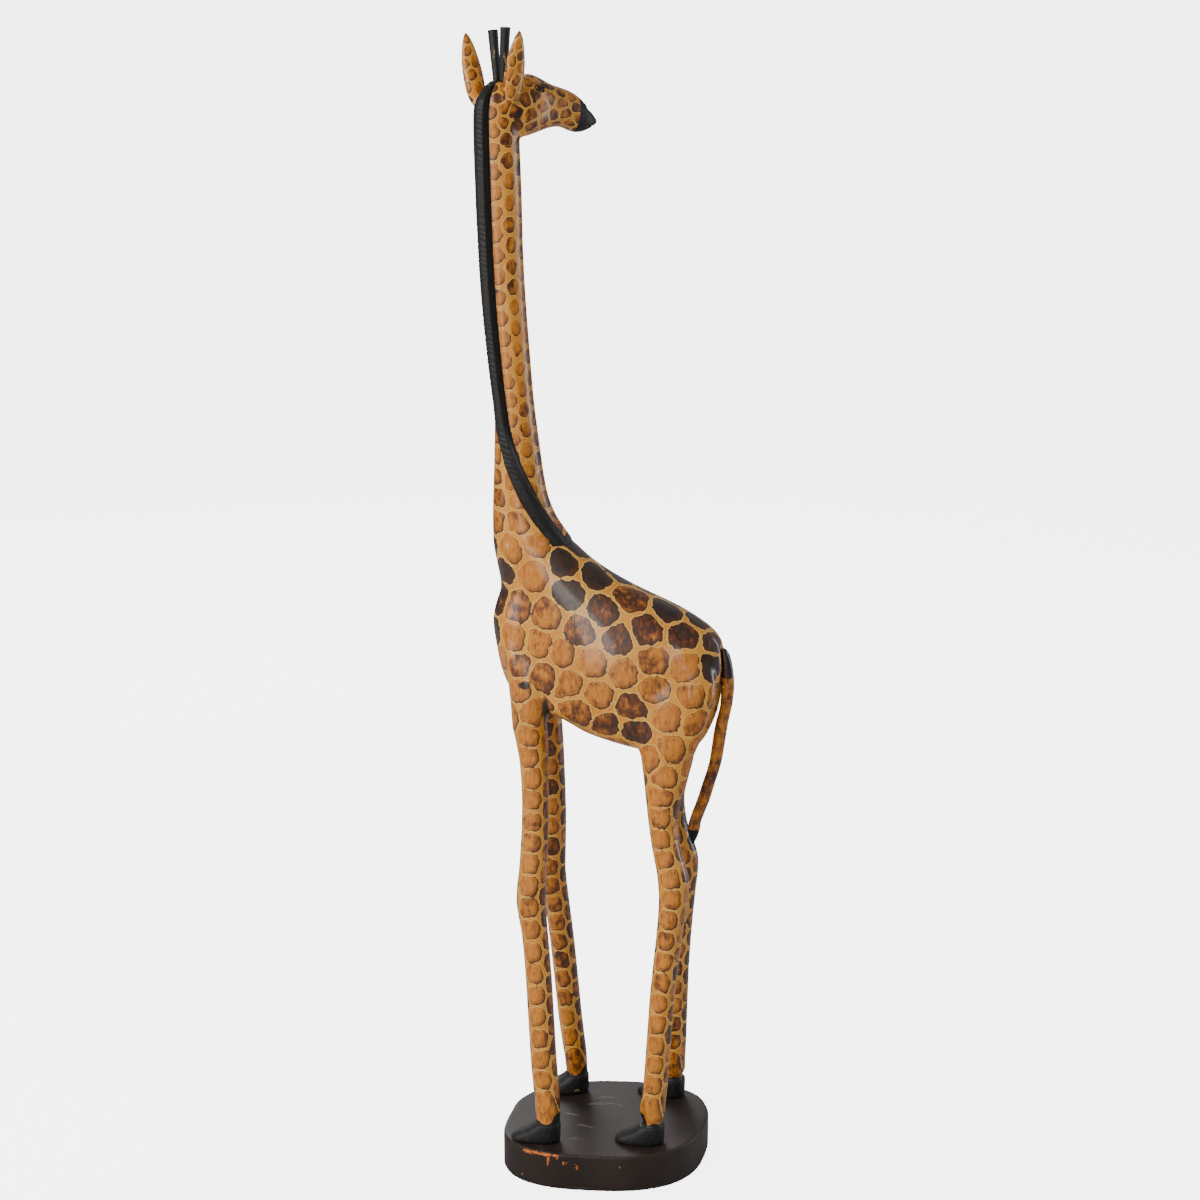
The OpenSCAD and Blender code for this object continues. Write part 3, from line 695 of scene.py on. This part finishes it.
for name, piece in blocks.items():
    co = stood_off(piece)
    lo, hi = co.min(0) - 0.05, co.max(0) + 0.05
    near = np.all((seeds > lo) & (seeds < hi), axis=1)
    spots = seeds[near]
    shades = tones[near]
    apart = np.sqrt(((spots[:, None] - spots[None]) ** 2).sum(2)) + 1e-9
    room = np.clip(np.partition(apart, 1, axis=1)[:, 1], 8 * MM, 30 * MM)
    gap = np.empty(len(co))
    own = np.empty(len(co), int)
    for start in range(0, len(co), 8000):
        some = co[start:start + 8000]
        d2 = ((some[:, None] - spots[None]) ** 2).sum(2)
        mine = d2.argmin(1)
        rows = np.arange(len(some))
        to_border = (d2 - d2[rows, mine][:, None]) / (2 * apart[mine])
        to_border[rows, mine] = 1.0
        round_off = 0.1 * room[mine]
        gap[start:start + 8000] = -round_off * np.log(np.exp(-to_border / round_off[:, None]).sum(1))
        own[start:start + 8000] = mine
    away = co - spots[own]
    co = points(piece)
    spread(piece, "gap", (gap / MM - WIDER.get(name, 0)) * (26 * MM / room[own]) ** 0.6)
    # how far towards the lower right of its spot a point lies, which sets the painted shade there
    shade_side = (0.8 * away[:, 0] - 0.7 * away[:, 2]) / (0.5 * room[own])
    spread(piece, "shade_side", np.clip(shade_side, -1, 1))
    spread(piece, "tone", shades[own])
    spread(piece, "polish", np.full(len(co), POLISH.get(name, 1.0)))
    dark_marks_and_shade = np.zeros(len(co))
    black = np.zeros(len(co))
    if "leg" in name:
        mid = middle_of(name)
        aside = (co[:, 0] - mid(HOOF_TOP + 8 * MM)[0]) / MM
        if "fore" in name:
            hem = 3 - 1.4 * np.cos(aside * 0.35) + 9 * np.clip((aside - 6) / 5, 0, 1)
        else:
            hem = 3.6 + 10 * np.clip((-4 - aside) / 3, 0, 1) + 1.0 * np.sin(aside * 0.5)
        black = np.clip(0.5 - (co[:, 2] / MM - HOOF_TOP / MM - hem) / 3, 0, 1)
    if name in ("neck", "head", "torso"):
        for i in np.nonzero(co[:, 2] > NECK_FOOT - 0.01)[0]:
            reach = mane_tree.find_nearest(Vector(co[i]), 0.004)[3]
            if reach is not None:
                black[i] = np.clip(1.1 - reach / (1.2 * MM), 0, 1)
    if name == "head" or "ear" in name:
        ahead, across, high = on_head(co)
        muzzle = np.clip(0.5 + (ahead - MUZZLE_FROM - 0.12 * (high - 8)) / 2, 0, 1)
        poll = np.clip(0.5 + (9 - np.hypot(across, np.clip(ahead - 4, 0, 1000))) / 4, 0, 1)
        poll = poll * (high > 50) * (ahead < 12)
        ring = eye_ring(ahead, across, high)
        eye = np.clip(0.5 + (0.8 - ring) / 0.35, 0, 1)
        black = np.maximum.reduce([black, muzzle, poll, eye])
        # darker round each eye, above and behind it, in a crease behind the eye and low on the cheek
        brow = np.hypot((ahead - 45) / 9, (high - 56 + 0.3 * (ahead - 45)) / 3.4)
        dark_marks_and_shade = np.maximum(np.exp(-((ring - 1.15) / 0.3) ** 2), np.clip(1.3 - brow, 0, 0.8))
        crease = np.hypot((ahead - 9) / 3, (high - 51) / 9) + 5 * (name != "head")
        cheek = np.hypot((ahead - 8) / 6, (high - 29) / 9) + 5 * (name != "head")
        dark_marks_and_shade = np.maximum.reduce([dark_marks_and_shade, np.clip(1.5 - crease, 0, 1), np.clip(1.2 - cheek, 0, 0.7)])
    if name == "torso":
        # painted shadow: a dark patch in the crease where the near fore leg meets the chest
        groove = np.hypot((co[:, 0] / MM + 58) / 6, (co[:, 2] / MM - 508) / 22)
        dark_marks_and_shade = np.clip(1.2 - groove, 0, 1) * (co[:, 1] < MIDDLE)
        gouge = np.hypot((co[:, 0] / MM + 79) / 6, (co[:, 2] / MM - 535) / 4)
        dark_marks_and_shade = np.maximum(dark_marks_and_shade, np.clip(1.6 - gouge, 0, 1) * (co[:, 1] < MIDDLE))
    spread(piece, "black", black)
    spread(piece, "dark_marks_and_shade", dark_marks_and_shade)


# --------------------------------------------------------------------------------------------------
# Mane: one long ridge of the same wood from the withers up over the poll. Its crest is cut with slanting
# notches. It is glued on and painted black.

MANE_GRAIN = 0.8 * MM
MANE_STROKES = 4
NOTCH_STEP = 5.2
NOTCH_DEPTH = 0.5 * MM
# the notches start this far out from the neck, in millimetres
CREST = 5.0
bm = bmesh.new()
node_copy(bm, "mane")
bm = sanded(bm, MANE_GRAIN, MANE_STROKES)
neck_tree = tree_of("neck", "head")
bm.normal_update()
moves = []
for v in bm.verts:
    rise = neck_tree.find_nearest(v.co)[3] / MM
    high = v.co.z / MM
    a = math.atan2(v.co.y - MIDDLE, v.co.x - HEAD_X)
    along = high + 9 * a + 1.3 * math.sin(high / 11) + 0.8 * math.sin(high / 3.7)
    saw = (along / NOTCH_STEP) % 1
    cut = (0.7 + 0.5 * math.sin(high / 17)) * max(0, 1 - abs(saw - 0.25) / 0.25)
    moves.append((v, v.normal * (-NOTCH_DEPTH * cut * min(1, max(0, (rise - CREST) / 1.5)))))
for v, move in moves:
    v.co += move
mane = finished(bm, "black_mane", black_paint, ["mane"])
spread(mane, "worn", np.zeros(len(mane.data.vertices)))


# --------------------------------------------------------------------------------------------------
# Horns: two round pegs with flat ends, set into the poll on tenons and painted black. The paint is rubbed
# through to the golden undercoat in streaks.

HORN_GRAIN = 0.5 * MM
HORN_STROKES = 4
# where each horn's streak runs: x and the height of its middle, in millimetres
STREAKS = {"horn_left": -117, "horn_right": -103}
STREAK_HIGH = 1172
for name, streak_x in STREAKS.items():
    bm = bmesh.new()
    node_copy(bm, name)
    bm = sanded(bm, HORN_GRAIN, HORN_STROKES)
    horn = finished(bm, "black_" + name, black_paint, [name])
    co = points(horn)
    rubbed = np.exp(-((co[:, 0] / MM - streak_x) / 1.3) ** 2 - ((co[:, 2] / MM - STREAK_HIGH) / 11) ** 2)
    spread(horn, "worn", rubbed * (co[:, 1] < np.mean(co[:, 1])))


# --------------------------------------------------------------------------------------------------
# Tail: a long thin strip carved on its own, pegged to a flat on the rump. It is banded brown, darkest at
# its root, and ends in a small black tuft.

TAIL_GRAIN = 1.0 * MM
TAIL_STROKES = 8
TUFT = 16 * MM
# heights in millimetres: the black tuft's top, the darkest band, the dark root; and the bands' spacing
TUFT_TOP = 371
DARK_BAND = 432
ROOT = 545
BAND = 17
bm = bmesh.new()
node_copy(bm, "tail")
bm = sanded(bm, TAIL_GRAIN, TAIL_STROKES)
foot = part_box("tail")[0].z
low_end = [v for v in bm.verts if v.co.z < foot + TUFT]
middle = sum((v.co for v in low_end), Vector()) / len(low_end)
for v in low_end:
    # the tuft is whittled to a blunt point
    thin = 1 - 0.65 * (1 - (v.co.z - foot) / TUFT) ** 1.5
    v.co.x = middle.x + (v.co.x - middle.x) * thin
    v.co.y = middle.y + (v.co.y - middle.y) * thin
tail = finished(bm, "carved_tail", spotted, ["tail"])
co = points(tail)
z = co[:, 2] / MM
spread(tail, "gap", 2.2 + 6 * np.abs(((z / BAND) % 1) - 0.5) * 2)
# the tail's bands get a fixed amount of the painted shade and heavier outline
spread(tail, "shade_side", np.full(len(co), 0.3))
spread(tail, "polish", np.full(len(co), 0.8))
spread(tail, "tone", np.where(z > ROOT, 0.8, 0.42 + 0.22 * np.exp(-((z - DARK_BAND) / 18) ** 2)))
spread(tail, "dark_marks_and_shade", np.clip((z - ROOT + 5) / 12, 0, 1) * 0.8)
spread(tail, "black", np.clip((TUFT_TOP - z) / 4 + 0.5, 0, 1))


# --------------------------------------------------------------------------------------------------
# Dowels and the tail's peg: turned beech, glued into their holes. They are hidden inside the closed joints.

beech, mix = new_finish("dowel_wood")
at = mix.place()
fibre = mix.cloud(at.stretched((1, 1, 0.08)), 700, 4, 0.6)
lay(mix, {"Base Color": mix.blend(fibre.rise(0.3, 0.7), tint(206, 170, 120), tint(226, 196, 150)),
          "Roughness": 0.55 + fibre * 0.15, "Normal": mix.bump(fibre, 0.0001)}, {"Coat Weight": 0.0})
for name in ("leg_dowels", "neck_dowel", "head_dowel", "tail_peg"):
    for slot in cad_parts[name].material_slots:
        slot.material = beech


# --------------------------------------------------------------------------------------------------
# Floor, light and camera: a plain pale floor, six soft lamps and a pale sky.

floor_paint, mix = new_finish("pale_floor")
lit = mix.add("ShaderNodeBsdfPrincipled", {}, {"Base Color": (0.9, 0.9, 0.9, 1), "Roughness": 0.9,
                                              "Emission Color": (1, 1, 1, 1), "Emission Strength": 4.5})
matt = mix.add("ShaderNodeBsdfDiffuse", {}, {"Color": (0.45, 0.45, 0.45, 1)})
seen = mix.add("ShaderNodeLightPath")
both = mix.add("ShaderNodeMixShader", {}, {0: seen, 1: matt, 2: lit})
mix.add("ShaderNodeOutputMaterial", {}, {"Surface": both})
FLOOR_HALF = 30
bm = bmesh.new()
bmesh.ops.create_grid(bm, x_segments=1, y_segments=1, size=FLOOR_HALF)
mesh = bpy.data.meshes.new("floor")
bm.to_mesh(mesh)
bm.free()
floor = bpy.data.objects.new("floor", mesh)
mesh.materials.append(floor_paint)
bpy.context.scene.collection.objects.link(floor)


def lamp(name, place, aim, width, height, power, warmth=(1, 1, 1)):
    """A soft rectangular lamp at place, turned towards aim; sizes in metres, power in watts."""
    data = bpy.data.lights.new(name, "AREA")
    data.shape = "RECTANGLE"
    data.size = width
    data.size_y = height
    data.energy = power
    data.color = warmth
    light = bpy.data.objects.new(name, data)
    light.location = place
    light.rotation_mode = "QUATERNION"
    light.rotation_quaternion = (Vector(aim) - Vector(place)).to_track_quat("-Z", "Y")
    bpy.context.scene.collection.objects.link(light)


lamp("soft_left", (-0.5, -2.55, 0.68), (0, 0, 0.6), 0.3, 0.85, 9, (1, 0.97, 0.93))
lamp("soft_right", (0.95, -2.4, 0.75), (0, 0, 0.6), 0.2, 0.7, 5)
lamp("big_fill", (-1.5, -2.6, 2.3), (0, 0, 0.55), 2.2, 1.8, 112, (1, 0.97, 0.92))
lamp("side_glow", (-2.3, -1.5, 0.85), (0, 0, 0.65), 0.5, 1.1, 16, (1, 0.97, 0.94))
lamp("strip_right", (1.85, 0.95, 0.6), (0, 0, 0.55), 0.35, 1.9, 20, (0.92, 0.92, 1))
lamp("soft_back", (-1.3, 2.3, 1.9), (0, 0, 0.7), 1.4, 1.4, 42)

world = bpy.data.worlds.new("pale_sky")
world.use_nodes = True
world.node_tree.nodes["Background"].inputs["Color"].default_value = (1, 1, 1, 1)
world.node_tree.nodes["Background"].inputs["Strength"].default_value = 0.38
bpy.context.scene.world = world

view = bpy.data.cameras.new("camera")
view.lens = 84.24
view.sensor_width = 36
camera = bpy.data.objects.new("camera", view)
camera.location = (0.5792, -2.7368, 1.37)
aim = Vector((-0.008, 0.002, 0.62))
camera.rotation_mode = "QUATERNION"
camera.rotation_quaternion = (aim - camera.location).to_track_quat("-Z", "Y")
bpy.context.scene.collection.objects.link(camera)
bpy.context.scene.camera = camera
